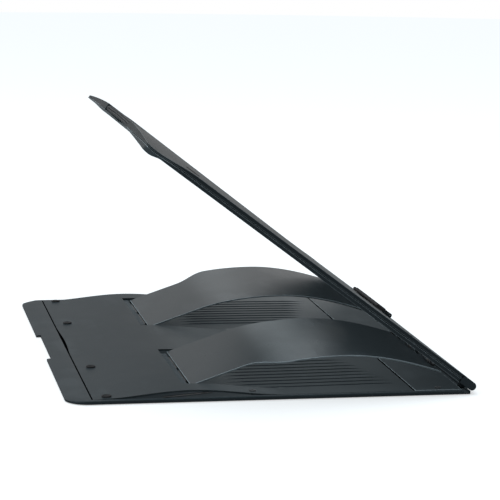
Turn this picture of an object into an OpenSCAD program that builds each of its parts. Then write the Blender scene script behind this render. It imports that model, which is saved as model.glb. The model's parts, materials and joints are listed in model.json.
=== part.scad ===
// Folding laptop riser: a flat base, a tilting platform and two curved arms between them.
// +X is the hinge end, Y runs across the width, +Z is up, and the riser stands on Z = 0.

/* [Overall] */
// Depth of the base from grip border to hinge nose
depth = 250; // [225:1:280]
// Width of the base and of the platform
width = 330; // [300:1:370]
// Angle of the platform above the table as it stands
tilt = 36.7; // [34:0.1:40]

/* [Base tray] */
// Height of the tray above the table, which is what the rubber feet show
foot_h = 0.5; // [0.4:0.1:1]
// Thickness of the tray floor
tray_floor = 1; // [0.9:0.1:1.2]
// Height of the tray rim above the table
rim_top = 2.6; // [2.5:0.1:3]
// Width of the rim round the panel
rim_w = 4; // [3:0.5:6]
// Width of the bevelled grip border
border_w = 15; // [12:0.5:20]
// Radius of the tray corners
corner_r = 14; // [8:1:20]
// Length of the finger notch in the grip border
notch_len = 76; // [50:1:100]
// Depth of the finger notch
notch_d = 3; // [2:0.5:5]

/* [Panel] */
// Thickness of the panel
panel_t = 1.1; // [1:0.1:1.3]
// Rise of the panel's arch over the toe slots
arch_rise = 4.2; // [4:0.1:5]
// Half length of the arch
arch_half = 59; // [50:1:65]
// Distance from the grip border's edge to the arch's crest
arch_at = 75; // [72:1:80]
// Gap between the panel and its neighbours
seam = 0.6; // [0.4:0.1:1]
// Number of stiffening ribs in each pocket
rib_count = 10; // [6:1:12]
// Distance between ribs
rib_pitch = 8.8; // [7:0.1:9]
// Width of the plate that covers the hinge end
cover_w = 30; // [26:1:34]

/* [Platform] */
// Thickness of the underside shell
under_t = 2.2; // [2:0.1:2.6]
// Thickness of the top shell at its edge
top_t = 2.3; // [2:0.1:2.6]
// Height of the parting groove between the shells
parting = 0.6; // [0.4:0.1:1]
// Crown of the top shell at its upper edge
crown = 3; // [1:0.1:4]
// Skin of the top shell over its hollow
top_skin = 1.5; // [1.2:0.1:1.8]
// Radius of the platform's upper corners
wing_r = 16; // [8:1:24]
// Length of the ribbed grip
grip_len = 114; // [80:1:140]
// Width of the ribbed grip
grip_w = 13; // [10:0.5:18]
// Number of vent slots
vent_count = 6; // [3:1:8]
// Length of each vent slot
vent_len = 90; // [60:1:110]

/* [Hinge] */
// Radius of the rounded nose at the low edge
nose_r = 2.6; // [2.5:0.1:2.8]
// Height of the hinge axis
hinge_z = 5.2; // [5:0.1:5.6]
// Radius of the hinge rods
rod_r = 1.25; // [1:0.05:1.4]
// Radial clearance of every pin that turns
pin_gap = 0.05; // [0.03:0.01:0.1]
// Width of each hinge lug
lug_w = 6; // [5:0.5:8]

/* [Arms] */
// Distance from the middle of the width to an arm's inner edge
arm_in = 42; // [38:1:46]
// Distance from the platform's side to an arm's flared edge
arm_out = 5; // [2:1:10]
// How far the arm flares beyond the tongue on its outer side
flare = 19; // [12:1:20]
// Thickness of an arm
arm_t = 1.6; // [1.4:0.1:2.2]
// Height of the arm's crest
crest_z = 25.5; // [24:0.1:27]
// Distance along the platform from the hinge axis to the arm pivot
pivot_u = 24; // [23:0.5:26]
// Radius of the arm pivot pins
arm_pin_r = 1; // [0.8:0.05:1.1]
// Radius of the barrels round the arm pivot
arm_barrel_r = 2.2; // [2.1:0.05:2.3]

/* [Toe slides] */
// Height of the toe pin
toe_z = 3.4; // [3.3:0.05:3.5]
// Radius of the toe pins
toe_pin_r = 0.6; // [0.5:0.05:0.7]
// Radius of the barrels round the toe pin
toe_barrel_r = 1.3; // [1.2:0.05:1.35]
// Length of a toe slide behind its pin
slide_len = 8; // [7:0.5:9]

/* [Laptop stop] */
// Overall length of the stop with its end blocks
stop_len = 78; // [60:1:110]
// Width of the stop
stop_w = 11.2; // [9:0.1:12]
// Thickness of the stop
stop_t = 2.4; // [2:0.1:2.8]
// Distance along the platform from the hinge axis to the stop's pin
stop_u = 28.5; // [26:0.5:30]

/* [Feet and fasteners] */
// Radius of the rubber feet
foot_r = 7; // [5:0.5:9]
// Radius of the bumpers the folded platform rests near
bumper_r = 3; // [2:0.25:4]
// Height of the bumpers above the panel
bumper_h = 1.4; // [1:0.1:2]
// Radius of the screw heads
head_r = 2; // [1.5:0.1:2.4]

/* [Hidden] */
$fn = 48;
eps = 0.01;

half_d = depth / 2;
half_w = width / 2;
floor_z = foot_h + tray_floor;
panel_top = floor_z + panel_t;
hinge_x = half_d - nose_r;
left_x = -half_d + border_w + seam;
cover_x = hinge_x - 5 - cover_w;
panel_right = cover_x - seam;
panel_half_w = half_w - rim_w - seam;
arch_x = -half_d + arch_at;
tongue_w = half_w - arm_out - flare - arm_in;
tongue_out = arm_in + tongue_w;
slot_gap = 1.4;

// Sides of the model: the left arm is at -Y
LEFT = -1;
RIGHT = 1;

// Height of the panel's top face: a raised cosine over the arch, flat elsewhere
function arch_z(x) = abs(x - arch_x) >= arch_half ? panel_top
    : panel_top + arch_rise * (1 + cos(180 * (x - arch_x) / arch_half)) / 2;

// A cubic Bezier point, and a run of them
function cubic(a, b, c, d, t) = pow(1 - t, 3) * a + 3 * t * pow(1 - t, 2) * b
    + 3 * t * t * (1 - t) * c + t * t * t * d;
function curve(a, b, c, d, n) = [for (i = [0:n]) cubic(a, b, c, d, i / n)];
function turn(v) = [-v[1], v[0]] / norm(v);

// The platform's own plane: u runs up the slope from the hinge axis, w is square to the plane
function on_platform(u, w) = [hinge_x - u * cos(tilt) + w * sin(tilt),
                              hinge_z + u * sin(tilt) + w * cos(tilt)];
platform_len = (depth - 2 * nose_r + 3.6);
under_lo = -parting / 2 - under_t;
top_lo = parting / 2;
top_hi = top_lo + top_t;
pivot_w = under_lo - 0.1;
pivot = on_platform(pivot_u, pivot_w);

// The arm's top line: straight up from the slot, over the crest and down under the platform
toe_x = arch_x + 1;
tongue_slope = 0.342;
neck = [arch_x + 38, 17.6];
crest = [arch_x + 95, crest_z];
tail = [pivot[0] + 2.6, pivot[1] - arm_barrel_r - 1.2];
tongue_end = [toe_x + 1.4, neck[1] - tongue_slope * (neck[0] - toe_x - 1.4)];
arm_line = concat([tongue_end], curve(neck, neck + [14, 14 * tongue_slope], crest - [23, 0], crest, 10),
                  [for (p = curve(crest, crest + [21, 0], tail - [17, -5.8], tail, 10)) if (p != crest) p]);
arm_last = len(arm_line) - 1;
function arm_dir(i) = arm_line[min(i + 1, arm_last)] - arm_line[max(i - 1, 0)];
arm_under = [for (i = [arm_last:-1:0]) arm_line[i] - arm_t * turn(arm_dir(i))];

// Places across the width where the hinge, pivot and toe barrels sit
lug_at = [8, 60, half_w - 17];
bracket_w = 8;
bracket_in = arm_in + 4;
bracket_out = tongue_out + 13;
bracket_at = [bracket_in + 4, (bracket_in + bracket_out - bracket_w) / 2, bracket_out - bracket_w - 4];
barrel_gap = 0.4;
toe_in = arm_in + 6;
toe_out = tongue_out - 1;
toe_lug_at = [toe_in, (toe_in + toe_out) / 2 - 4, toe_out - 12];
toe_lug_w = 8;

// Feet, screws and pads
foot_sink = 0.5;
bumper_x = left_x + 9;
foot_xs = [-half_d + 30, half_d - 30];
foot_ys = [-half_w + 24, 0, half_w - 24];
screw_r = 0.8;
head_sink = 0.7;
screw_x = [arch_x + 38, cover_x + 16];
pad_r = 5;
pad_sink = 0.8;
pad_proud = 0.2;

// The arch's stations, and the slots and pockets cut in it
arch_from = max(left_x, arch_x - arch_half);
arch_n = 24;
arch_steps = [for (i = [0:arch_n]) arch_from + i / arch_n * (arch_x + arch_half - arch_from)];
slot_left = arch_x - 3.2;
slot_right = arch_x + 9;
pocket_end = arch_x + arch_half;
pocket_wall = 1.2;
rib_x = arch_x + 26;
rib_h = 0.5;
rib_w = 1.2;
rib_step = 1.4;

// Hinge rods and washers
rod_in = lug_at[0];
rod_out = half_w - 6;
washer_t = 0.4;

// The platform's crown starts beyond the stop, and ends at the upper edge
nose_len = 8;
crown_from = 44;
crown_n = 24;
groove_n = 4;
groove_pitch = 2.8;
vent_from = 58;
vent_pitch = 9;
vent_w = 3;
vent_end = vent_from + vent_count * vent_pitch;

// Barrels and brackets of the arm pivots
bracket_hw = 7;
barrel_room = arm_barrel_r + 1;
bracket_t = 1.2;
bracket_screw_u = 5.3;
arm_barrel_at = [bracket_at[0] + bracket_w + barrel_gap, bracket_at[1] - bracket_w - barrel_gap,
                 bracket_at[1] + bracket_w + barrel_gap, bracket_at[2] - bracket_w - barrel_gap];

// Where the arm's outer side flares
flare_x0 = arch_x + 36;
flare_x1 = arch_x + 60;
flare_n = 12;

// Toe slides and the stop's pin
slide_lo = toe_z - 0.7;
slide_hi = toe_z + toe_barrel_r + 0.2;
slide_pad_t = 0.35;
stop_pin_w = top_hi + 1.5;
stop_block_w = 5;
stop_pin_r = 0.6;
stop_knuckle_r = 1.2;

module across(y0, y1) translate([0, y1, 0]) rotate([90, 0, 0]) linear_extrude(y1 - y0) children();
module rod(x, z, r, y0, y1) translate([x, y0, z]) rotate([-90, 0, 0]) cylinder(r = r, h = y1 - y0);
module side(s) if (s > 0) children(); else mirror([0, 1, 0]) children();
module both_sides() {
    children();
    mirror([0, 1, 0]) children();
}
module platform_frame() translate([hinge_x, 0, hinge_z]) rotate([0, tilt, 0]) children();
// A block given by its range along, across and square to the platform
module slab(u0, u1, y0, y1, w0, w1) translate([-u1, y0, w0]) cube([u1 - u0, y1 - y0, w1 - w0]);
module round_rect(x0, x1, hy, r) {
    translate([x0 + r, -hy]) square([x1 - x0 - 2 * r, 2 * hy]);
    translate([x0, -hy + r]) square([x1 - x0, 2 * hy - 2 * r]);
    for (x = [x0 + r, x1 - r], y = [-hy + r, hy - r]) translate([x, y]) circle(r);
}

// ---- base ----
module tray_outline() difference() {
    union() {
        round_rect(-half_d, half_d - 30, half_w, corner_r);
        translate([0, -half_w]) square([hinge_x - 1, width]);
    }
    translate([-half_d - eps, -notch_len / 2]) square([notch_d + eps, notch_len]);
}

module base_tray() color("dimgray") difference() {
    translate([0, 0, foot_h]) linear_extrude(rim_top - foot_h) tray_outline();
    translate([left_x - seam, -panel_half_w - seam, floor_z])
        cube([depth, 2 * (panel_half_w + seam), rim_top]);
    // the rim stops short of the hinge nose
    translate([hinge_x - 5, -width, floor_z]) cube([depth, 2 * width, rim_top]);
    // bevel of the grip border
    translate([-half_d, width, rim_top]) rotate([90, 0, 0])
        linear_extrude(2 * width) polygon([[-1, 1], [border_w * 0.6, 1], [border_w * 0.6, 0], [-1, -0.9]]);
    for (x = foot_xs, y = foot_ys) translate([x, y, -eps]) cylinder(r = foot_r, h = foot_h + foot_sink + eps);
    lug_places() cylinder(r = screw_r, h = floor_z + eps);
}

module arch_strip(y0, y1) across(y0, y1) polygon(concat(
    [for (x = arch_steps) [x, arch_z(x)]],
    [for (i = [len(arch_steps) - 1:-1:0]) [arch_steps[i], arch_z(arch_steps[i]) - panel_t]]));

module base_panel() color("dimgray") {
    difference() {
        union() {
            arch_strip(-panel_half_w, panel_half_w);
            // flat floor from the slots to the hinge cover
            translate([slot_right, -panel_half_w, floor_z])
                cube([panel_right - slot_right, 2 * panel_half_w, panel_t]);
            translate([left_x, -panel_half_w, floor_z])
                cube([max(arch_x - arch_half - left_x, 0) + 2, 2 * panel_half_w, panel_t]);
        }
        both_sides() translate([slot_left, arm_in - slot_gap, panel_top + eps])
            cube([pocket_end - slot_left, tongue_w + 2 * slot_gap, 20]);
        both_sides() translate([slot_left, arm_in - slot_gap, floor_z])
            cube([slot_right - slot_left, tongue_w + 2 * slot_gap, 20]);
        bumper_places() cylinder(r = bumper_r * 0.5, h = 20, center = true);
        screw_places() cylinder(r = screw_r, h = 20, center = true);
    }
    // walls beside the pockets
    both_sides() for (y = [arm_in - slot_gap - pocket_wall, tongue_out + slot_gap])
        across(y, y + pocket_wall) polygon(concat([for (x = arch_steps) if (x >= slot_right) [x, arch_z(x) - 0.4]],
            [[pocket_end, floor_z], [slot_right, floor_z]]));
    // ribs under the arms
    both_sides() for (i = [0:rib_count - 1])
        translate([rib_x, tongue_out + 12 - i * rib_pitch, panel_top - eps])
            cube([pocket_end + 56 - rib_x - i * rib_step, rib_w, rib_h]);
}

module bumper_places() for (y = [-1, 1], k = [0.94, 0.435])
    translate([bumper_x, y * k * half_w, 0]) children();
module bumpers() color("black") bumper_places() {
    translate([0, 0, arch_z(bumper_x) - panel_t]) cylinder(r = bumper_r * 0.5 - eps, h = panel_t + 0.4);
    translate([0, 0, arch_z(bumper_x + bumper_r)]) cylinder(r = bumper_r, h = bumper_h);
}

module screw_places() for (y = [-1, 1]) {
    translate([screw_x[0], y * (panel_half_w - 5), 0]) children();
    translate([screw_x[1], y * (panel_half_w - 5), 0]) children();
}
module panel_screws() color("gray") for (y = [-1, 1], i = [0, 1]) {
    top = i == 0 ? arch_z(screw_x[0] - head_r) : panel_top;
    translate([screw_x[i], y * (panel_half_w - 5), 0]) {
        translate([0, 0, floor_z]) cylinder(r = screw_r, h = top - floor_z);
        translate([0, 0, top]) difference() {
            cylinder(r = head_r, h = 0.7);
            for (a = [0, 90]) rotate(a) translate([-1.2, -0.25, 0.35]) cube([2.4, 0.5, 1]);
        }
    }
}

module hinge_cover() color("dimgray") difference() {
    translate([cover_x, -panel_half_w, floor_z]) cube([cover_w, 2 * panel_half_w, panel_t]);
    screw_places() cylinder(r = screw_r, h = 20, center = true);
}

module lug_places() both_sides() for (y = lug_at) translate([hinge_x - 2, y + lug_w / 2, 0]) children();
module hinge_lugs() color("dimgray") both_sides() for (y = lug_at) difference() {
    union() {
        rod(hinge_x, hinge_z, nose_r - 0.2, y, y + lug_w);
        across(y, y + lug_w) polygon([[hinge_x - 4.6, floor_z], [hinge_x + nose_r - 1.2, floor_z],
            [hinge_x + nose_r - 0.2, hinge_z], [hinge_x - nose_r + 0.2, hinge_z], [hinge_x - 4.6, floor_z + 1.2]]);
    }
    rod(hinge_x, hinge_z, rod_r, y - 1, y + lug_w + 1);
    translate([hinge_x - 2, y + lug_w / 2, 0]) cylinder(r = screw_r, h = floor_z + 1);
}
module lug_screws() color("gray") lug_places() translate([0, 0, foot_h]) cylinder(r = screw_r, h = tray_floor + 0.8);

module hinge_rods() color("silver") both_sides() rod(hinge_x, hinge_z, rod_r, rod_in, rod_out);
module hinge_washers() color("white") both_sides() for (y = lug_at, e = [-washer_t, lug_w]) if (y + e > rod_in)
    difference() {
        rod(hinge_x, hinge_z, nose_r - 0.3, y + e, y + e + washer_t);
        rod(hinge_x, hinge_z, rod_r, y + e - 1, y + e + 2);
    }

module rubber_feet() color("black") for (x = foot_xs, y = foot_ys)
    translate([x, y, 0]) cylinder(r = foot_r, h = foot_h + foot_sink);

// Thin rods that hold the open edge of the arch
module side_stays() color("silver") both_sides()
    translate([arch_x - 17, panel_half_w - 3, floor_z + 0.6]) rotate([0, 90 - 4.5, 0]) cylinder(r = 0.5, h = 30);

// ---- platform ----
module platform_outline(inset) intersection() {
    translate([-platform_len + inset, -half_w + inset]) square([platform_len - 4 - inset, width - 2 * inset]);
    round_rect(-platform_len + inset, 40, half_w - inset, wing_r);
}
module vent_cuts() for (i = [0:vent_count - 1])
    slab(vent_from + i * vent_pitch, vent_from + vent_w + i * vent_pitch, -vent_len / 2, vent_len / 2, -10, 20);

module platform_underside() color("dimgray") platform_frame() difference() {
    union() {
        translate([0, 0, under_lo]) linear_extrude(under_t) platform_outline(0);
        translate([0, 0, under_lo + under_t - eps]) linear_extrude(parting + eps) platform_outline(1.6);
        rod(0, 0, nose_r, -half_w, half_w);
        slab(0, 6, -half_w, half_w, under_lo + 0.2, top_hi - 0.5);
    }
    rod(0, 0, rod_r + pin_gap, -rod_out - 1, rod_out + 1);
    both_sides() for (y = lug_at) slab(-5, 7.2, max(y - 0.7, 0), y + lug_w + 0.7, -6, 6);
    vent_cuts();
    // seats of the arm brackets and room for the arm barrels
    both_sides() slab(pivot_u - bracket_hw - 0.2, pivot_u + bracket_hw + 0.2,
                      bracket_in - 0.2, bracket_out + 0.2, under_lo - 1, under_lo + bracket_t);
    both_sides() slab(pivot_u - barrel_room - 0.2, pivot_u + barrel_room + 0.2, bracket_in, bracket_out, under_lo - 1,
                      pivot_w + arm_barrel_r + 0.4);
    both_sides() stop_seat();
    grip_seat();
    platform_screw_places() {
        translate([0, 0, -9]) cylinder(r = screw_r, h = 9 + parting);
        translate([0, 0, -9]) cylinder(r = head_r + 0.1, h = 9 + under_lo + head_sink);
    }
    bracket_screw_places() translate([0, 0, -9]) cylinder(r = screw_r, h = 9);
}
module stop_seat() slab(stop_u - 1.5, stop_u + 3, stop_len / 2 - 4, stop_len / 2 - 1, 0, 1);

// Height of the crown above the shell's edge thickness
function crown_at(u, y) = crown * (1 - pow(y / half_w, 2)) * max(u - crown_from, 0) / (platform_len - crown_from);
module crowned(lift) hull() {
    slab(crown_from, crown_from + 0.4, -half_w + lift, half_w - lift, top_lo, top_hi - lift);
    translate([-platform_len + lift, 0, 0]) rotate([90, 0, 90]) linear_extrude(0.4)
        polygon(concat([[half_w - lift, top_lo], [-half_w + lift, top_lo]],
            [for (i = [0:crown_n]) let (y = (2 * i / crown_n - 1) * (half_w - lift))
                [y, top_hi - lift + crown_at(platform_len, y)]]));
}
module platform_top() color("dimgray") platform_frame() difference() {
    intersection() {
        union() {
            crowned(0);
            slab(nose_len, crown_from + 0.2, -half_w, half_w, top_lo, top_hi);
        }
        translate([0, 0, -1]) linear_extrude(20) platform_outline(0);
    }
    // hollow under the crown
    translate([0, 0, -eps]) intersection() {
        crowned(top_skin);
        slab(vent_end + 4, platform_len - grip_w - 4, -half_w + 30, half_w - 30, top_lo - 1, 20);
    }
    vent_cuts();
    grip_seat();
    both_sides() stop_seat_top();
    platform_pads_at(9);
    platform_screw_places() translate([0, 0, top_lo - 1]) cylinder(r = screw_r, h = 2.2);
}
module stop_seat_top() slab(stop_u - 1.2, stop_u + 2.7, stop_len / 2 - 3.7, stop_len / 2 - 1.3, -1, 9);
module grip_seat() slab(platform_len - grip_w, platform_len + 5, -grip_len / 2, grip_len / 2, 0, 12);
module grip_insert() color("black") platform_frame() difference() {
    intersection() {
        slab(platform_len - grip_w, platform_len - 0.6, -grip_len / 2, grip_len / 2, 0, top_hi + 1.4);
        translate([0, 0, -1]) linear_extrude(20) platform_outline(0);
    }
    for (i = [0:groove_n - 1])
        slab(platform_len - grip_w + 1.8 + i * groove_pitch, platform_len - grip_w + 3 + i * groove_pitch,
             -grip_len / 2 + 3, grip_len / 2 - 3, top_hi + 0.4, 20);
}
module platform_pads_at(proud) for (u = [46, platform_len - 34], y = [-half_w + 22, half_w - 22])
    translate([-u, y, top_hi + crown_at(u, y) - pad_sink]) cylinder(r = pad_r, h = pad_sink + proud);
module platform_pads() color("black") platform_frame() platform_pads_at(pad_proud);
module platform_screw_places() for (u = [42, platform_len / 2, platform_len - 26], y = [-1, 1])
    translate([-u, y * (half_w - 14), 0]) children();
module platform_screws() color("gray") platform_frame() platform_screw_places() {
    translate([0, 0, under_lo]) cylinder(r = screw_r, h = under_t + parting + 0.6);
    translate([0, 0, under_lo]) cylinder(r = head_r, h = head_sink);
}

// ---- arm brackets, on the platform ----
module bracket_screw_places() both_sides() for (y = bracket_at) 
    translate([-pivot_u - bracket_screw_u, y + bracket_w + 6, 0]) children();
module arm_bracket(s) color("gray") platform_frame() side(s) difference() {
    union() {
        slab(pivot_u - bracket_hw, pivot_u + bracket_hw, bracket_in, bracket_out, under_lo, under_lo + bracket_t);
        for (y = bracket_at) {
            rod(-pivot_u, pivot_w, arm_barrel_r, y, y + bracket_w);
            slab(pivot_u - arm_barrel_r, pivot_u + arm_barrel_r, y, y + bracket_w, pivot_w, under_lo + 0.8);
        }
    }
    // windows for the arm's barrels
    for (y = arm_barrel_at) slab(pivot_u - barrel_room, pivot_u + barrel_room, y - barrel_gap, y + bracket_w + barrel_gap, -12, 3);
    rod(-pivot_u, pivot_w, arm_pin_r, 0, width);
    for (y = bracket_at) translate([-pivot_u - bracket_screw_u, y + bracket_w + 6, -9]) cylinder(r = screw_r, h = 12);
}
module arm_pin(s) color("silver") platform_frame() side(s)
    rod(-pivot_u, pivot_w, arm_pin_r, bracket_at[0], bracket_at[2] + bracket_w);
module bracket_screws() color("gray") platform_frame() bracket_screw_places() {
    translate([0, 0, under_lo - 0.5]) cylinder(r = 1.6, h = 0.5);
    translate([0, 0, under_lo]) cylinder(r = screw_r, h = 1.9);
}

// ---- arms ----
// Plan of an arm: the tongue, then an S-shaped flare on the outer side
function flare_y(x) = tongue_out + flare * (1 - cos(180 * min(max((x - flare_x0) / (flare_x1 - flare_x0), 0), 1))) / 2;
module arm_plan() polygon(concat([[toe_x - 9, arm_in], [toe_x - 9, tongue_out]],
    [for (i = [0:flare_n]) let (x = flare_x0 + i / flare_n * (flare_x1 - flare_x0)) [x, flare_y(x)]],
    [[half_d, tongue_out + flare], [half_d, arm_in]]));
module arm(s) color("dimgray") side(s) difference() {
    union() {
        intersection() {
            across(0, half_w) polygon(concat(arm_line, arm_under));
            linear_extrude(60) arm_plan();
        }
        for (y = arm_barrel_at) {
            rod(pivot[0], pivot[1], arm_barrel_r, y, y + bracket_w);
            across(y, y + bracket_w) polygon([pivot + [-arm_barrel_r, 0], pivot + [arm_barrel_r, 0],
                pivot + [arm_barrel_r - 0.4, -4], pivot + [-arm_barrel_r, -3.6]]);
        }
        rod(toe_x, toe_z, toe_barrel_r, toe_in, toe_out);
        // web between the tongue and its toe barrels, which reaches into both
        across(toe_in, toe_out) polygon([tongue_end + [1, 0.2], tongue_end + [1.4, -1.7],
            [toe_x, toe_z - toe_barrel_r + 0.1], [toe_x, toe_z + toe_barrel_r - 0.1]]);
    }
    rod(pivot[0], pivot[1], arm_pin_r + pin_gap, arm_in, half_w);
    rod(toe_x, toe_z, toe_pin_r + pin_gap, 0, half_w);
    // room for the slide's lugs
    for (y = toe_lug_at) translate([toe_x - 5, y - barrel_gap, 0])
        cube([5 + toe_barrel_r + 0.35, toe_lug_w + 2 * barrel_gap, toe_z + toe_barrel_r + 0.4]);
}

// ---- toe slides ----
module toe_slide(s) color("gray") side(s) difference() {
    union() {
        translate([toe_x - slide_len, toe_in, slide_lo]) cube([slide_len - 2, toe_out - toe_in, slide_hi - slide_lo]);
        for (y = toe_lug_at) {
            rod(toe_x, toe_z, toe_barrel_r, y, y + toe_lug_w);
            translate([toe_x - 3, y, slide_lo]) cube([3, toe_lug_w, 1.6]);
        }
    }
    rod(toe_x, toe_z, toe_pin_r, 0, half_w);
}
module toe_pad(s) color("gray") side(s)
    translate([toe_x - slide_len, toe_in, slide_hi]) cube([slide_len - 2, toe_out - toe_in, slide_pad_t]);
module toe_pin(s) color("silver") side(s) rod(toe_x, toe_z, toe_pin_r, toe_lug_at[0], toe_lug_at[2] + toe_lug_w);

// ---- laptop stop, on the platform ----
module stop_blocks() color("black") platform_frame() both_sides() difference() {
    union() {
        rod(-stop_u, stop_pin_w, 1.3, stop_len / 2 - stop_block_w, stop_len / 2);
        slab(stop_u - 1.3, stop_u + 4, stop_len / 2 - stop_block_w, stop_len / 2, top_hi + 0.1, stop_pin_w);
        slab(stop_u - 1.2, stop_u + 2.7, stop_len / 2 - 3.7, stop_len / 2 - 1.3, parting / 2, stop_pin_w);
    }
    rod(-stop_u, stop_pin_w, stop_pin_r, 0, stop_len);
}
module stop_pin() color("silver") platform_frame()
    rod(-stop_u, stop_pin_w, stop_pin_r, -stop_len / 2 + 1, stop_len / 2 - 1);
module laptop_stop() color("black") platform_frame() difference() {
    union() {
        rod(-stop_u, stop_pin_w, stop_knuckle_r, -stop_len / 2 + stop_block_w + 0.3, stop_len / 2 - stop_block_w - 0.3);
        slab(stop_u, stop_u + stop_w - stop_knuckle_r, -stop_len / 2 + stop_block_w + 0.3,
             stop_len / 2 - stop_block_w - 0.3, stop_pin_w - stop_knuckle_r, stop_pin_w - stop_knuckle_r + stop_t);
    }
    rod(-stop_u, stop_pin_w, stop_pin_r + pin_gap, -stop_len, stop_len);
}
module stop_pad() color("black") platform_frame()
    slab(stop_u + 2, stop_u + stop_w - 2.4, -stop_len / 2 + 9, stop_len / 2 - 9,
         stop_pin_w - stop_knuckle_r + stop_t, stop_pin_w - stop_knuckle_r + stop_t + 0.4);

base_tray();
base_panel();
hinge_cover();
hinge_lugs();
hinge_rods();
hinge_washers();
rubber_feet();
bumpers();
panel_screws();
lug_screws();
side_stays();
platform_underside();
platform_top();
grip_insert();
platform_screws();
platform_pads();
arm_bracket(LEFT);  // arm_bracket_left
arm_bracket(RIGHT);  // arm_bracket_right
arm_pin(LEFT);  // arm_pin_left
arm_pin(RIGHT);  // arm_pin_right
bracket_screws();
arm(LEFT);  // arm_left
arm(RIGHT);  // arm_right
toe_slide(LEFT);  // toe_slide_left
toe_slide(RIGHT);  // toe_slide_right
toe_pad(LEFT);  // toe_pad_left
toe_pad(RIGHT);  // toe_pad_right
toe_pin(LEFT);  // toe_pin_left
toe_pin(RIGHT);  // toe_pin_right
stop_blocks();
stop_pin();
laptop_stop();
stop_pad();
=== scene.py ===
"""Folding laptop riser: the finished looks of a flat base, a tilting platform and two curved arms.

Lengths inside the functions are millimetres, and put() turns them into metres.
"""
import bpy
import itertools
import json
import math
import numpy as np
from mathutils import Matrix, Vector


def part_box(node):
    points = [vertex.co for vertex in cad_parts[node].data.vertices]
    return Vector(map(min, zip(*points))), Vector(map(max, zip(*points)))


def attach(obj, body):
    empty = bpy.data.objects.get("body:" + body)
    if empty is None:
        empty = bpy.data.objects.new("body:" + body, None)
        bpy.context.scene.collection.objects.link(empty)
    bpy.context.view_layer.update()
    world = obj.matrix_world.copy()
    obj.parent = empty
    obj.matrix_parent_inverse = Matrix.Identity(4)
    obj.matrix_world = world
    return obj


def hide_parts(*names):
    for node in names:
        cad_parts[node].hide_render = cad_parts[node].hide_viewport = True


bl_info = {
    "name": "Folding laptop riser",
    "version": (1, 0, 0),
    "blender": (4, 5, 0),
    "location": "3D View > Sidebar > Riser",
    "description": "Builds the shells, arms, pads and fasteners of a folding laptop riser",
    "category": "Add Mesh",
}

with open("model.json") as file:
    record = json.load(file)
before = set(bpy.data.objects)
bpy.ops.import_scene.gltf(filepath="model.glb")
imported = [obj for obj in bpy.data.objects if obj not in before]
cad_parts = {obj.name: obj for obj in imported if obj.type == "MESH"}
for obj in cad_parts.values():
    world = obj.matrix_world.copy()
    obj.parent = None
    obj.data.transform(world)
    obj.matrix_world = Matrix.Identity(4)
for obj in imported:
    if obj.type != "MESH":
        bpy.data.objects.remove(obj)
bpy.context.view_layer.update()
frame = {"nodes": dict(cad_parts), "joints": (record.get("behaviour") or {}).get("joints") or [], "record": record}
JOINTS = {j["name"]: [1000 * c for c in j["pos_m"]] for j in frame["joints"]}
SLOTS = {p["node"]: p["material_slot"] for p in frame["record"]["subparts"]}

# ---- places, in millimetres: those of the joints come from the frame ----


def box_mm(node):
    """Lowest and highest corner of a CAD node, as two arrays."""
    low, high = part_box(node)
    return 1000 * np.array(low), 1000 * np.array(high)


HINGE = JOINTS["platform_hinge"]
PIVOT = JOINTS["arm_left_pivot"]
TOE = JOINTS["toe_left_pivot"]
TILT = math.radians(36.7)
HALF_W = 165.0

# the tray: its floor, its rim, its lip by the hinge and its finger notch
LEFT_EDGE, TRAY_RIGHT = -125.0, 121.4
FLOOR_Z, TRAY_LOW = 1.5, 0.5
RIM_TOP, RIM_LEFT, RIM_SIDE, RIM_RIGHT = 2.6, -110.0, 161.0, 117.4
LIP_X, LIP_TOP = 120.2, 2.45
NOTCH_X, NOTCH_HALF = -122.0, 38.0

# the panel: its arch, its two toe slots and the pockets beside them
PANEL_LEFT, PANEL_RIGHT, PANEL_SIDE = -109.1, 86.8, 160.4
PANEL_TOP, PANEL_T, POCKET_WALL = 2.6, 1.1, 1.2
ARCH_X, ARCH_HALF, ARCH_RISE = -50.0, 59.0, 4.2
ARCH_END = ARCH_X + ARCH_HALF
SLOT_LEFT, SLOT_RIGHT = -53.2, -41.0
BAND_IN, BAND_OUT = 40.6, 142.4
BUMPER_X, BUMPER_SHARES = -100.4, (0.94, 0.435)

# the platform: its vents, the seats of its brackets, its grip and its nose
PLATFORM_LEN = 248.4
VENTS = [(58 + 9 * i, 61 + 9 * i) for i in range(6)]
VENT_HALF = 45.0
SEAT_U, SEAT_Y = (16.8, 31.2), (45.8, 154.2)
GRIP_U, GRIP_HALF = 235.0, 57.6
NOSE_R = 2.6
LUGS = ((8, 14), (60, 66), (148, 154))

# the arms: their edges, their flare and the barrels round their pins
ARM_IN, TONGUE_OUT, FLARE = 42.0, 141.0, 19.0
PIVOT_BARREL_R, PIVOT_BARREL_W, PIVOT_BARRELS = 2.2, 8, (58.4, 87.6, 104.4, 133.6)
TOE_BARREL_R, TOE_BARRELS = 1.3, ((56.4, 89.6), (98.4, 127.6), (136.4, 140))


# ---- sizes and colours a user would change ----


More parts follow.
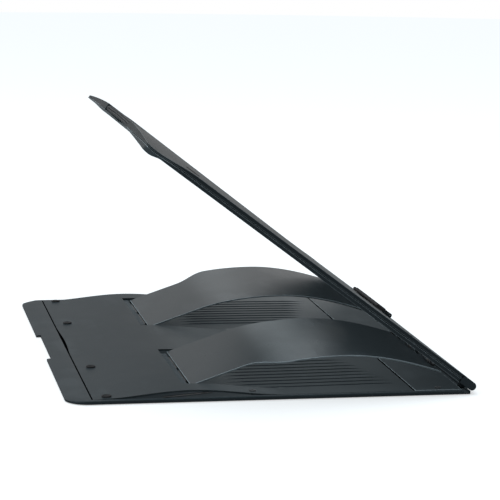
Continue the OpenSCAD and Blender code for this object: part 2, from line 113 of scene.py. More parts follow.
class RiserSizes(bpy.types.PropertyGroup):
    """Sizes of the visible detail."""

    edge_round: bpy.props.FloatProperty(
        name="Edge rounding", description="Radius on the edges of the moulded shells",
        default=0.00045, min=0.0001, max=0.001, unit="LENGTH", precision=5)
    crown: bpy.props.FloatProperty(
        name="Platform crown", description="Rise of the platform's middle at its upper edge",
        default=0.003, min=0.0, max=0.004, unit="LENGTH", precision=4)
    lip: bpy.props.FloatProperty(
        name="Upper lip", description="Drop of the lip under the platform's upper edge",
        default=0.002, min=0.0, max=0.003, unit="LENGTH", precision=4)
    rib_count: bpy.props.IntProperty(
        name="Pocket ribs", description="Number of curved ribs in each pocket", default=11, min=4, max=16)
    rib_pitch: bpy.props.FloatProperty(
        name="Rib pitch", description="Distance between neighbouring pocket ribs",
        default=0.0088, min=0.006, max=0.012, unit="LENGTH", precision=4)
    grain_size: bpy.props.FloatProperty(
        name="Grain size", description="Width of one grain of the moulded texture",
        default=0.0006, min=0.0003, max=0.003, unit="LENGTH", precision=5)


class RiserColours(bpy.types.PropertyGroup):
    """Colours of the finishes."""

    shell: bpy.props.FloatVectorProperty(
        name="Shell", description="Charcoal of the tray, panel and platform",
        default=(0.019, 0.0235, 0.026), subtype="COLOR", min=0, max=1)
    arm: bpy.props.FloatVectorProperty(
        name="Arms", description="Charcoal of the arms",
        default=(0.021, 0.0255, 0.028), subtype="COLOR", min=0, max=1)
    slide: bpy.props.FloatVectorProperty(
        name="Slides", description="Grey of the toe slides and washers",
        default=(0.04, 0.046, 0.05), subtype="COLOR", min=0, max=1)
    # the edge colour is a painted highlight: a paler charcoal on every bevel that draws thin light lines along the
    # edges
    edge: bpy.props.FloatVectorProperty(
        name="Rubbed edges", description="Paler charcoal of the edges that hands and tables rub",
        default=(0.15, 0.17, 0.18), subtype="COLOR", min=0, max=1)
    rubber: bpy.props.FloatVectorProperty(
        name="Rubber", description="Black of the feet, bumpers and grip",
        default=(0.012, 0.012, 0.013), subtype="COLOR", min=0, max=1)
    steel: bpy.props.FloatVectorProperty(
        name="Steel", description="Blued steel of the rods and pins",
        default=(0.14, 0.145, 0.15), subtype="COLOR", min=0, max=1)
    paint: bpy.props.FloatVectorProperty(
        name="Paint", description="Black paint of the brackets and screws",
        default=(0.02, 0.021, 0.023), subtype="COLOR", min=0, max=1)


# ---- shader expressions ----


class Wire:
    """A socket that +, - and * work on: each adds one Math node."""

    def __init__(self, tree, socket):
        self.tree, self.socket = tree, socket

    def _math(self, operation, a, b):
        """The result of one Math node, whose inputs are wires or numbers."""
        node = self.tree.nodes.new("ShaderNodeMath")
        node.operation = operation
        for place, value in enumerate((a, b)):
            if isinstance(value, Wire):
                self.tree.links.new(value.socket, node.inputs[place])
            else:
                node.inputs[place].default_value = value
        return Wire(self.tree, node.outputs[0])

    def __add__(self, other): return self._math("ADD", self, other)
    def __radd__(self, other): return self._math("ADD", other, self)
    def __sub__(self, other): return self._math("SUBTRACT", self, other)
    def __mul__(self, other): return self._math("MULTIPLY", self, other)


class Finish:
    """One material, whose nodes are made by node() and whose Principled BSDF is made by surface()."""

    def __init__(self, name):
        self.material = bpy.data.materials.new(name)
        self.material.use_nodes = True
        self.tree = self.material.node_tree
        self.tree.nodes.clear()
        self.output = self.tree.nodes.new("ShaderNodeOutputMaterial")

    def node(self, kind, out=0, **values):
        """Adds a node of a kind and feeds its sockets, whose names have _ in place of a blank."""
        made = self.tree.nodes.new("ShaderNode" + kind)
        for key, value in values.items():
            self.feed(made.inputs[key.replace("_", " ")], value)
        return Wire(self.tree, made.outputs[out])

    def feed(self, socket, value):
        """Links a wire to a socket, or sets the socket's own value."""
        if isinstance(value, Wire):
            self.tree.links.new(value.socket, socket)
        else:
            socket.default_value = value

    def place(self):
        """Object coordinates, in metres."""
        return self.node("TexCoord", out=3)

    def stretched(self, scale):
        """Object coordinates, scaled along each axis."""
        return self.node("Mapping", Vector=self.place(), Scale=scale)

    def noise(self, where, size, detail=3.0, rough=0.55):
        """Noise between 0 and 1, whose blotches are size metres wide."""
        return self.node("TexNoise", Vector=where, Scale=1 / size, Detail=detail, Roughness=rough)

    def ramp(self, value, low, high):
        """0 below low, 1 above high and smooth between."""
        made = self.node("MapRange", Value=value, From_Min=low, From_Max=high)
        made.socket.node.interpolation_type = "SMOOTHSTEP"
        return made

    def tint(self, factor, first, second):
        """Colour between two colours."""
        made = self.tree.nodes.new("ShaderNodeMix")
        made.data_type = "RGBA"
        for key, value in ((0, factor), (6, first), (7, second)):
            self.feed(made.inputs[key], value)
        return Wire(self.tree, made.outputs[2])

    def bump(self, height, strength, distance):
        """Normal turned by a height between 0 and 1, where 1 stands for distance metres."""
        return self.node("Bump", Height=height, Strength=strength, Distance=distance)

    def surface(self, **values):
        """The Principled BSDF, linked to the output."""
        shader = self.node("BsdfPrincipled", **values)
        self.tree.links.new(shader.socket, self.output.inputs[0])
        return self.material


def grown(colour, factor):
    """A colour brightened by a factor, as RGBA."""
    return tuple(min(1.0, c * factor) for c in colour) + (1.0,)


def moulded_plastic(name, colour, roughness, depth, shine=0.015):
    """Spark-eroded plastic: fine grain in the bump, slow blotches in tone and gloss, and faint rubbed patches."""
    grain = settings()[0].grain_size
    f = Finish(name)
    where = f.place()
    fine = f.noise(where, grain, detail=2.0, rough=0.6)
    blotch = f.noise(where, 0.045, detail=4.0, rough=0.5)
    swirl = f.noise(f.stretched((1.0, 0.25, 1.0)), 0.012, detail=3.0, rough=0.6)
    rubbed = f.ramp(blotch * 0.7 + swirl * 0.3, low=0.52, high=0.68)
    tone = f.tint(rubbed * 0.35 + fine * 0.15, grown(colour, 0.93), grown(colour, 1.5))
    gloss = roughness + (fine - 0.5) * 0.10 + (blotch - 0.5) * 0.08 - rubbed * 0.03
    coarse = f.noise(where, grain * 3.2, detail=2.0, rough=0.5)
    normal = f.bump(fine + coarse * 0.6, strength=0.35, distance=depth)
    return f.surface(Base_Color=tone, Roughness=gloss, Normal=normal, IOR=1.49, Specular_IOR_Level=shine)


def soft_rubber(name, colour, shine=0.3):
    """Matt rubber: pitted surface with dust caught in the pits."""
    f = Finish(name)
    where = f.place()
    pits = f.noise(where, 0.0007, detail=4.0, rough=0.7)
    dust = f.ramp(f.noise(where, 0.006, detail=3.0, rough=0.5), low=0.5, high=0.75)
    tone = f.tint(dust * 0.5 + pits * 0.2, grown(colour, 0.85), grown(colour, 2.4))
    normal = f.bump(pits, strength=0.5, distance=0.00012)
    return f.surface(Base_Color=tone, Roughness=0.72 + pits * 0.15, Normal=normal, IOR=1.5, Specular_IOR_Level=shine)


def ground_steel(name, colour):
    """Ground rod: fine rings round the rod's length, with slight darker oxide."""
    f = Finish(name)
    rings = f.noise(f.stretched((0.15, 6.0, 0.15)), 0.002, detail=3.0, rough=0.6)
    oxide = f.ramp(f.noise(f.place(), 0.008, detail=4.0, rough=0.6), low=0.5, high=0.7)
    tone = f.tint(oxide * 0.6, colour[:] + (1.0,), grown(colour, 0.45))
    return f.surface(Base_Color=tone, Metallic=1.0, Roughness=0.24 + rings * 0.18 + oxide * 0.1,
                     Normal=f.bump(rings, strength=0.3, distance=0.00003))


def black_paint(name, colour):
    """Powder coat: orange peel in the bump and bright chips where it has rubbed."""
    f = Finish(name)
    where = f.place()
    peel = f.noise(where, 0.0011, detail=2.0, rough=0.5)
    chips = f.ramp(f.noise(where, 0.0035, detail=5.0, rough=0.7), low=0.66, high=0.70)
    tone = f.tint(chips * 0.5, colour[:] + (1.0,), (0.22, 0.22, 0.22, 1.0))
    return f.surface(Base_Color=tone, Metallic=chips * 0.6, Roughness=0.38 + peel * 0.2,
                     Normal=f.bump(peel, strength=0.35, distance=0.00006), IOR=1.5)


# ---- mesh making ----


def put(name, parts, body, slot, nodes=(), rounding=0.0, angle=35, finish=None):
    """Makes one piece of closed parts, each (points in mm, blocks of polygons), and turns them outwards.

    A closed part's volume is the sum over its triangles of a . (b x c) / 6. Where it is negative the faces turn.
    Edges sharper than angle stay sharp, and get a rounding in metres. The finish is the slot's own unless named.
    """
    points, faces, base = [], [], 0
    for part_points, part_faces in parts:
        part_points = np.asarray(part_points, float)
        total = sum(volume(part_points, block) for block in part_faces)
        for block in part_faces:
            turned = block if total > 0 else block[:, ::-1]
            faces.extend((turned + base).tolist())
        points.append(part_points)
        base += len(part_points)
    mesh = bpy.data.meshes.new(name)
    mesh.from_pydata((np.concatenate(points) / 1000).tolist(), [], faces)
    mesh.update()
    mesh.validate()
    piece = bpy.data.objects.new(name, mesh)
    bpy.context.scene.collection.objects.link(piece)
    mesh.shade_smooth()
    mesh.set_sharp_from_angle(angle=math.radians(angle))
    mesh.materials.append(finish_for(finish or slot))
    if rounding:
        # the bevels take the paler edge finish, a painted highlight along every rounded edge
        mesh.materials.append(finish_for("edge"))
        bevel = piece.modifiers.new("rounded edges", "BEVEL")
        bevel.width, bevel.segments = rounding, 3
        bevel.limit_method, bevel.angle_limit = "ANGLE", math.radians(angle)
        bevel.harden_normals = True
        bevel.use_clamp_overlap = True
        bevel.material = 1
    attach(piece, body)
    if nodes:
        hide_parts(*nodes)


def volume(points, block):
    """Signed volume under a block of polygons."""
    a = points[block[:, 0]]
    return sum(float(np.einsum("ij,ij->i", a, np.cross(points[block[:, k]], points[block[:, k + 1]])).sum())
               for k in range(1, block.shape[1] - 1)) / 6


def shell(top, bottom, keep=None):
    """A closed solid between two grids of points, with cells left out where keep is false.

    Each kept cell has a face on both grids, and a wall stands on each edge that only one kept cell has."""
    n, m = top.shape[:2]
    keep = np.ones((n - 1, m - 1), bool) if keep is None else keep
    up = np.arange(n * m).reshape(n, m)
    low = up + n * m
    cell = np.stack([up[:-1, :-1], up[1:, :-1], up[1:, 1:], up[:-1, 1:]], -1)[keep]
    faces = [cell, cell[:, ::-1] + n * m]
    before, after = np.pad(keep, ((0, 0), (1, 0))), np.pad(keep, ((0, 0), (0, 1)))
    faces += walls(up[:-1, :], up[1:, :], low[:-1, :], low[1:, :], after & ~before, before & ~after)
    before, after = np.pad(keep, ((1, 0), (0, 0))), np.pad(keep, ((0, 1), (0, 0)))
    faces += walls(up[:, :-1], up[:, 1:], low[:, :-1], low[:, 1:], before & ~after, after & ~before)
    faces = np.concatenate(faces)
    points = np.concatenate([top.reshape(-1, 3), bottom.reshape(-1, 3)])
    used, inverse = np.unique(faces, return_inverse=True)
    return points[used], [inverse.reshape(faces.shape)]


def grid(a, b):
    """Every pair of two runs of stations, as two arrays."""
    return np.meshgrid(np.asarray(a, float), np.asarray(b, float), indexing="ij")


def plate(x, y, high, low, keep=None):
    """A closed solid over a grid of places, between two heights or two grids of heights."""
    top, bottom = (np.stack([x, y, np.broadcast_to(z, x.shape)], -1) for z in (high, low))
    return shell(top, bottom, keep)


def tilted(u, y, high, low, keep=None):
    """The same, in the platform's own place."""
    return shell(on_platform(u, y, high), on_platform(u, y, low), keep)


def walls(p, q, p_low, q_low, turned, straight):
    """Quads between the two grids on the edges p to q, in the direction that closes the solid."""
    return [np.stack([q, p, p_low, q_low], -1)[turned], np.stack([p, q, q_low, p_low], -1)[straight]]


def loft(rings):
    """A closed solid through rings of equal numbers of points, each end closed by one polygon."""
    n, m = rings.shape[:2]
    index = np.arange(n * m).reshape(n, m)
    nxt = np.roll(index, -1, 1)
    sides = np.stack([index[:-1], index[1:], nxt[1:], nxt[:-1]], -1).reshape(-1, 4)
    return rings.reshape(-1, 3), [sides, index[:1], index[-1:, ::-1]]


def lathe(profile, centre, along, count=40):
    """A profile of (radius, height) turned round an axis.

    A point is centre + h along + r (cos a e1 + sin a e2).
    """
    along = np.array(along, float) / np.linalg.norm(along)
    e1 = np.cross(along, (0, 1, 0) if abs(along[1]) < 0.9 else (1, 0, 0))
    e1 /= np.linalg.norm(e1)
    e2 = np.cross(along, e1)
    a = np.linspace(0, 2 * math.pi, count, endpoint=False)
    r, h = np.array(profile, float).T
    ring = np.cos(a)[:, None] * e1 + np.sin(a)[:, None] * e2
    return loft(np.array(centre) + h[:, None, None] * along + r[:, None, None] * ring[None])


def lines(*stops):
    """Stations from (start, end, count) runs and single numbers, sorted and without doubles."""
    runs = [np.linspace(*s) if isinstance(s, tuple) else np.array([s], float) for s in stops]
    return np.unique(np.round(np.concatenate(runs), 4))


def span(stations, low, high):
    """True for each gap between stations that lies between low and high."""
    middle = (stations[1:] + stations[:-1]) / 2
    return (middle > low) & (middle < high)


def round_corners(x, y, x_end, half, r, toward=1):
    """Bends a grid's two corner squares of side r at x_end into quarter discs.

    A square's (a, b) goes to (a sqrt(1 - b b / 2), b sqrt(1 - a a / 2)). The end is to the left where toward is -1.
    """
    a = np.clip(toward * (x - (x_end - toward * r)) / r, 0, 1)
    b = np.clip((np.abs(y) - (half - r)) / r, 0, 1)
    inside = (a > 0) & (b > 0)
    nx = x_end - toward * r + toward * r * a * np.sqrt(1 - b * b / 2)
    ny = np.sign(y) * (half - r + r * b * np.sqrt(1 - a * a / 2))
    return np.where(inside, nx, x), np.where(inside, ny, y)


def on_platform(u, y, w):
    """World point of the platform's own place: u up the slope from the hinge, w square to it."""
    u, y, w = np.broadcast_arrays(np.asarray(u, float), y, w)
    c, s = math.cos(TILT), math.sin(TILT)
    return np.stack([HINGE[0] - u * c + w * s, y, HINGE[2] + u * s + w * c], -1)


def ease(t):
    """0 below 0, 1 above 1, and 3 t t - 2 t t t between."""
    t = np.clip(t, 0, 1)
    return t * t * (3 - 2 * t)


def cover_top(u, y):
    """Height of the platform's top: a crown that grows up the slope, less a droop at the upper corners.

    The crown is c (1 - (y / h)^2) times the share climbed of the slope past 44 mm. The droop is 2.6 (|y| / h)^2.5
    over the last 34 mm.
    """
    climbed = np.clip(u - 44, 0, None) / (PLATFORM_LEN - 44)
    crown = 1000 * settings()[0].crown * (1 - (y / HALF_W) ** 2) * climbed
    return 2.6 + crown - 2.6 * (np.abs(y) / HALF_W) ** 2.5 * ease((u - 214) / 34)


def tray_low(u, y):
    """Height of the platform's underside: flat, then an upper edge that arches up in the middle.

    The edge has a lip at the left side. The right side has 0.3 of that lip, and its corner is up to 1.9 thinner.
    """
    lip = 1000 * settings()[0].lip
    arched = 3.1 * (1 - (np.abs(y) / HALF_W) ** 1.7) * ease((u - 222) / 26)
    reach = np.clip(np.abs(y) / HALF_W, 0, 1)
    thinned = 1.9 * ease((u - 230) / 18) * np.where(y > 0, reach ** 3, 0)
    return -2.5 + arched + thinned - lip * ease((u - 238) / 8) * reach ** 1.2 * np.where(y > 0, 0.3, 1)


def arch(x):
    """Height of the panel's top: a raised cosine over the toe slots."""
    inside = np.abs(x - ARCH_X) < ARCH_HALF
    return PANEL_TOP + np.where(inside, ARCH_RISE * (1 + np.cos(np.pi * (x - ARCH_X) / ARCH_HALF)) / 2, 0)


def flipped(part):
    """The same part on the other side of the middle plane."""
    points, blocks = part
    return points * np.array([1, -1, 1]), blocks


def settings():
    """The scene's sizes and colours."""
    return bpy.context.scene.riser_sizes, bpy.context.scene.riser_colours


def finish_for(slot):
    """The material of a slot, made once, under a name that the frame's own flat materials don't have."""
    colours = settings()[1]
    made = {
        "shell_plastic": lambda n: moulded_plastic(n, colours.shell, roughness=0.40, depth=0.00001),
        "arm_plastic": lambda n: moulded_plastic(n, colours.arm, roughness=0.30, depth=0.000012, shine=0.022),
        "slide_plastic": lambda n: moulded_plastic(n, colours.slide, roughness=0.40, depth=0.00001),
        # painted highlight on the bevels: a paler charcoal with lower roughness
        "edge": lambda n: moulded_plastic(n, colours.edge, roughness=0.34, depth=0.000006),
        # near-black and without shine: painted shadow for the strips in the panel's seams
        "gasket": lambda n: soft_rubber(n, (0.0008, 0.0008, 0.0008), shine=0.0),
        "rubber": lambda n: soft_rubber(n, colours.rubber),
        "steel": lambda n: ground_steel(n, colours.steel),
        "screw": lambda n: black_paint(n, colours.paint),
        "bracket": lambda n: black_paint(n, colours.paint),
    }
    name = "riser_" + slot
    return bpy.data.materials.get(name) or made[slot](name)


# ---- base ----


class RISER_OT_tray(bpy.types.Operator):
    """Base tray with a raised rim, a bevelled grip border and its finger notch, and near-black strips in the panel's
    seams that paint the shadow in the gaps

    The border's bevel falls by 0.9 over 10 mm, and the rim's sides fall by 0.25 over 1.2 mm.
    """

    bl_idname = "riser.tray"
    bl_label = "Base tray"

    def execute(self, context):
        step = 0.05
        xs = lines((LEFT_EDGE, -111, 12), NOTCH_X, RIM_LEFT - step, RIM_LEFT + step, (-109, 117, 60),
                   RIM_RIGHT - step, RIM_RIGHT + step, 118, LIP_X - step, LIP_X + step, TRAY_RIGHT)
        ys = lines((-HALF_W, -151, 12), -RIM_SIDE - step, -RIM_SIDE + step, (-150, -40, 24), -NOTCH_HALF,
                   (-37, 37, 16), NOTCH_HALF, (40, 150, 24), (151, HALF_W, 12), RIM_SIDE - step, RIM_SIDE + step)
        x, y = grid(xs, ys)
        inner = (x > RIM_LEFT) & (np.abs(y) < RIM_SIDE)
        bevel = 0.9 * np.clip((LEFT_EDGE + 10 - x) / 10, 0, 1)
        side = 0.25 * np.clip((np.abs(y) - (HALF_W - 1.2)) / 1.2, 0, 1)
        z = np.where(inner | (x > RIM_RIGHT), FLOOR_Z, RIM_TOP - bevel - side)
        z = np.where(x > LIP_X, LIP_TOP, z)
        px, py = round_corners(x, y, LEFT_EDGE, HALF_W, r=14, toward=-1)
        keep = ~np.outer(span(xs, LEFT_EDGE - 1, NOTCH_X), span(ys, -NOTCH_HALF, NOTCH_HALF))
        put("tray", [plate(px, py, z, TRAY_LOW, keep)], "base", "shell_plastic", ["base_tray"])
        # near-black strips down the panel's two seams: painted shadow standing in for the dark of the gaps
        seams = [grid(ends, (-160.3, 160.3)) for ends in ((-109.95, -107.7), (86.5, 88.3))]
        seam_shadow_plates = [plate(x, y, 2.4, FLOOR_Z - 0.1) for x, y in seams]
        put("painted_seam_shadows", seam_shadow_plates, "base", "rubber", finish="gasket")
        return {"FINISHED"}


class RISER_OT_panel(bpy.types.Operator):
    """Base panel, arched over the toe slots and with a bowed left edge, and the plate at the hinge end

    The edge is bowed by 1.1 (1 - t t)^2, where t runs from -1 to 1 over 92 mm. It fades over 9 mm.
    """

    bl_idname = "riser.panel"
    bl_label = "Panel and hinge plate"

    def execute(self, context):
        edge = settings()[0].edge_round
        steep = 0.02
        xs = lines((PANEL_LEFT, SLOT_LEFT, 30), (SLOT_LEFT + 1, ARCH_END, 34), SLOT_RIGHT, (12, PANEL_RIGHT, 24))
        ys = lines((-PANEL_SIDE, -BAND_OUT, 6), (-BAND_OUT, -BAND_IN, 28), (-BAND_IN, BAND_IN, 22),
                   (BAND_IN, BAND_OUT, 28), (BAND_OUT, PANEL_SIDE, 6),
                   *(side * at for side in (-1, 1) for at in (BAND_IN + steep, BAND_OUT - steep)))
        x, y = grid(xs, ys)
        pocket = (np.abs(y) > BAND_IN + steep / 2) & (np.abs(y) < BAND_OUT - steep / 2) & (x > SLOT_RIGHT - 0.01)
        z = np.where(pocket, PANEL_TOP, arch(x))
        slots = span(ys, BAND_IN, BAND_OUT) | span(ys, -BAND_OUT, -BAND_IN)
        keep = ~np.outer(span(xs, SLOT_LEFT, SLOT_RIGHT), slots)
        fade = np.clip((PANEL_LEFT + 9 - x) / 9, 0, 1)
        bow = 1.1 * np.clip(1 - ((y - 12) / 46) ** 2, 0, 1) ** 2 * fade
        parts = [plate(x + bow, y, z, z - PANEL_T, keep)]
        for y0 in (BAND_IN - POCKET_WALL, BAND_OUT):
            x, y = grid(lines((SLOT_RIGHT, ARCH_END, 20)), (y0, y0 + POCKET_WALL))
            wall = plate(x, y, np.maximum(arch(x) - 0.02, FLOOR_Z + 0.1), FLOOR_Z)
            parts += [wall, flipped(wall)]
        put("panel", parts, "base", "shell_plastic", ["base_panel"], edge * 0.7)
        low, high = box_mm("hinge_cover")
        x, y = grid(lines((low[0] + 0.6, high[0], 6)), lines((low[1], high[1], 40)))
        put("hinge_plate", [plate(x, y, high[2], low[2])], "base", "shell_plastic", ["hinge_cover"], edge)
        return {"FINISHED"}


class RISER_OT_ribs(bpy.types.Operator):
    """Pocket ribs: low curved ridges on the floor under each arm

    Each bends inwards by 3.5 t t along its length and ends 2.2 mm before the last one.
    """

    bl_idname = "riser.ribs"
    bl_label = "Pocket ribs"

    def execute(self, context):
        sizes = settings()[0]
        t = np.linspace(0, 1, 26)
        height = 0.42 * np.minimum(1, np.minimum(t * 8, (1 - t) * 8)) + 0.02
        across = np.array([-0.9, -0.45, 0.0, 0.45, 0.9])
        rise = np.array([0.0, 0.8, 1.0, 0.8, 0.0])
        start, outermost = -22, 150
        parts = []
        for k in range(sizes.rib_count):
            y0 = outermost - k * 1000 * sizes.rib_pitch
            if y0 >= BAND_OUT - 1:
                continue
            x = start + (84 - 2.2 * k - start) * t
            y = y0 - 3.5 * t * t
            x, y = np.broadcast_arrays(x[:, None], y[:, None] + across)
            part = plate(x, y, PANEL_TOP + height[:, None] * rise, PANEL_TOP - 0.2)
            parts += [part, flipped(part)]
        put("pocket_ribs", parts, "base", "shell_plastic", angle=60)
        return {"FINISHED"}


class RISER_OT_feet(bpy.types.Operator):
    """Rubber feet and bumpers, with rounded shoulders"""

    bl_idname = "riser.feet"
    bl_label = "Feet and bumpers"

    def execute(self, context):
        foot = [(0, 0), (6.4, 0), (6.85, 0.12), (7, 0.4), (7, 1.0), (0, 1.0)]
        parts = [lathe(foot, (x, y, 0), (0, 0, 1)) for x in (-95, 95) for y in (-141, 0, 141)]
        put("feet", parts, "base", "rubber", ["rubber_feet"], angle=50)
        top = float(arch(np.array(BUMPER_X)))
        bumper = [(0, -1), (1.5, -1), (1.5, 0), (3.0, 0), (3.0, 0.6), (2.8, 0.95), (2.4, 1.05), (2.1, 0.85),
                  (0, 0.75)]
        parts = [lathe(bumper, (BUMPER_X, side * share * HALF_W, top), (0, 0, 1))
                 for side in (-1, 1) for share in BUMPER_SHARES]
        put("bumper_discs", parts, "base", "rubber", ["bumpers"], angle=50)
        return {"FINISHED"}


# ---- platform ----


class RISER_OT_platform(bpy.types.Operator):
    """Platform: a crowned top with vents and an underside with its nose, parted by a groove"""

    bl_idname = "riser.platform"
    bl_label = "Platform shells"

    def execute(self, context):
        edge = settings()[0].edge_round
        marks = [side * at for side in (-1, 1) for at in (VENT_HALF, *SEAT_Y, GRIP_HALF)]
        us = lines((8, 56, 14), *SEAT_U, *[end for vent in VENTS for end in vent], (110, 232, 26), GRIP_U,
                   (237, PLATFORM_LEN, 12))
        ys = lines((-HALF_W, -149, 12), (-148, -60, 18), (-44, 44, 18), (60, 148, 18), (149, HALF_W, 12), *marks)
        u, y = grid(us, ys)
        keep = ~np.outer(span(us, GRIP_U, PLATFORM_LEN + 1), span(ys, -GRIP_HALF, GRIP_HALF))
        for start, end in VENTS:
            keep &= ~np.outer(span(us, start, end), span(ys, -VENT_HALF, VENT_HALF))
        pu, py = round_corners(u, y, PLATFORM_LEN, HALF_W, r=16)
        top, low = cover_top(pu, py), tray_low(pu, py)
        split = np.minimum(0.3, top - 1.1)
        cover = tilted(pu, py, top, split, keep)
        put("platform_cover", [cover], "platform", "shell_plastic", ["platform_top"], edge)
        below = np.maximum(split - 0.6, low + 0.9)
        seat = np.outer(span(us, *SEAT_U), span(ys, *SEAT_Y) | span(ys, -SEAT_Y[1], -SEAT_Y[0]))
        put("platform_tray", [tilted(pu, py, below, low, keep & ~seat)], "platform", "shell_plastic", (), edge)
        groove = 1.6
        inset_y = np.clip(py, -HALF_W + groove, HALF_W - groove)
        inset_u = np.clip(pu, 0, PLATFORM_LEN - groove)
        core = tilted(inset_u, inset_y, split + 0.05, below - 0.05, keep)
        put("parting_core", [core], "platform", "shell_plastic")
        self.nose()
        return {"FINISHED"}

    def nose(self):
        """Rounded nose between the lugs: a half circle and two flats, carried along the hinge."""
        a = np.linspace(math.pi / 2, -math.pi / 2, 15)
        flats = [(9, -2.5), (9, 2.55)]
        section = np.array([(-NOSE_R * math.cos(t), NOSE_R * math.sin(t)) for t in a] + flats)
        gap = 0.7
        edges = [0.0] + [e for lug in LUGS for e in (lug[0] - gap, lug[1] + gap)] + [HALF_W]
        parts = []
        for ends in zip(edges[::2], edges[1::2]):
            part = loft(on_platform(section[None, :, 0], np.array(ends)[:, None], section[None, :, 1]))
            parts += [part, flipped(part)]
        put("nose", parts, "platform", "shell_plastic", ["platform_underside"], angle=30)


class RISER_OT_grip(bpy.types.Operator):
    """Ribbed grip in the platform's upper edge, and the four rest pads

    The grip's outline is a flat top, a half turn and a flat underside. Each groove is 1.15 (0.5 - 0.5 cos t)^2 deep.
    """

    bl_idname = "riser.grip"
    bl_label = "Grip and rest pads"
    grooves = 4

    def execute(self, context):
        half_len = GRIP_HALF - 1
        ys = lines((-half_len, half_len, 60))
        a = np.linspace(0, 1, 140)
        top, low = cover_top(248.0, ys) - 0.7, tray_low(248.0, ys) + 0.3
        middle, half = (top + low) / 2, (top - low) / 2
        turn = np.clip((a - 0.25) / 0.5, 0, 1) * math.pi
        flat = np.clip((0.25 - a) / 0.25, 0, 1) + np.clip((a - 0.75) / 0.25, 0, 1)
        wave = np.cos(np.clip((a - 0.16) / 0.6, 0, 1) * self.grooves * 2 * math.pi)
        groove = 1.15 * (0.5 - 0.5 * wave) ** 2 * ease((half_len - 3 - np.abs(ys[:, None])) / 1.5)
        u = 245.4 - 9.6 * flat + (2.6 - groove) * np.sin(turn)
        w = middle[:, None] + (half[:, None] - groove) * np.cos(turn)
        put("grip", [loft(on_platform(u, ys[:, None], w))], "platform", "rubber", ["grip_insert"], angle=70)
        pad = [(0, 0), (5, 0), (5, 0.8), (4.8, 0.95), (4.3, 1.0), (0, 1.0)]
        parts = []
        for u, y in itertools.product((46, PLATFORM_LEN - 34), (-143, 143)):
            base = float(cover_top(np.array(u), np.array(y))) - 0.8
            parts.append(lathe(pad, on_platform(u, y, base), (math.sin(TILT), 0, math.cos(TILT))))
        put("rest_pads", parts, "platform", "rubber", ["platform_pads"], angle=50)
        return {"FINISHED"}


class RISER_OT_stop(bpy.types.Operator):
    """Laptop stop: a flap with a full-round edge between two end blocks"""

    bl_idname = "riser.stop"
    bl_label = "Laptop stop"

    def execute(self, context):
        a = np.linspace(math.pi / 2, 3 * math.pi / 2, 11)
        radius, w0 = 1.2, 4.1
        back = [(28.5 + radius * math.cos(t), w0 + radius * math.sin(t)) for t in a]
        front = [(37.3 - radius * math.cos(t), w0 - radius * math.sin(t)) for t in a]
        section = np.array(back + front)
        ys = np.array([-33.7, -33.4, 33.4, 33.7])
        shrink = np.array([0.86, 1.0, 1.0, 0.86])
        middle = section.mean(0)
        ring = middle + (section[None] - middle) * shrink[:, None, None]
        flap = loft(on_platform(ring[..., 0], ys[:, None], ring[..., 1]))
        put("stop_flap", [flap], "stop", "rubber", ["laptop_stop"], angle=40)
        return {"FINISHED"}


# ---- arms ----


def arm_line(count):
    """The arm's top line: a straight tongue, then two cubic curves over the crest, as x and z arrays."""
    t = np.linspace(0, 1, count)[:, None]

    def cubic(a, b, c, d):
        """A curve from a to d that leaves towards b and arrives from c."""
        return (1 - t) ** 3 * a + 3 * t * (1 - t) ** 2 * b + 3 * t * t * (1 - t) * c + t ** 3 * d

    slope = 0.342
    neck = np.array([-12.0, 17.6])
    crest = np.array([45.0, 25.5])
    tail = np.array([PIVOT[0] + 2.6, PIVOT[2] - 3.4])
    first = cubic(neck, neck + [14, 14 * slope], crest - [23, 0], crest)
    last = cubic(crest, crest + [21, 0], tail - [17, -5.8], tail)
    start_x = -47.6
    start = np.array([start_x, neck[1] - slope * (neck[0] - start_x)])
    tongue = start + (neck - start) * np.linspace(0, 1, 14)[:, None]
    return np.concatenate([tongue[:-1], first[:-1], last])


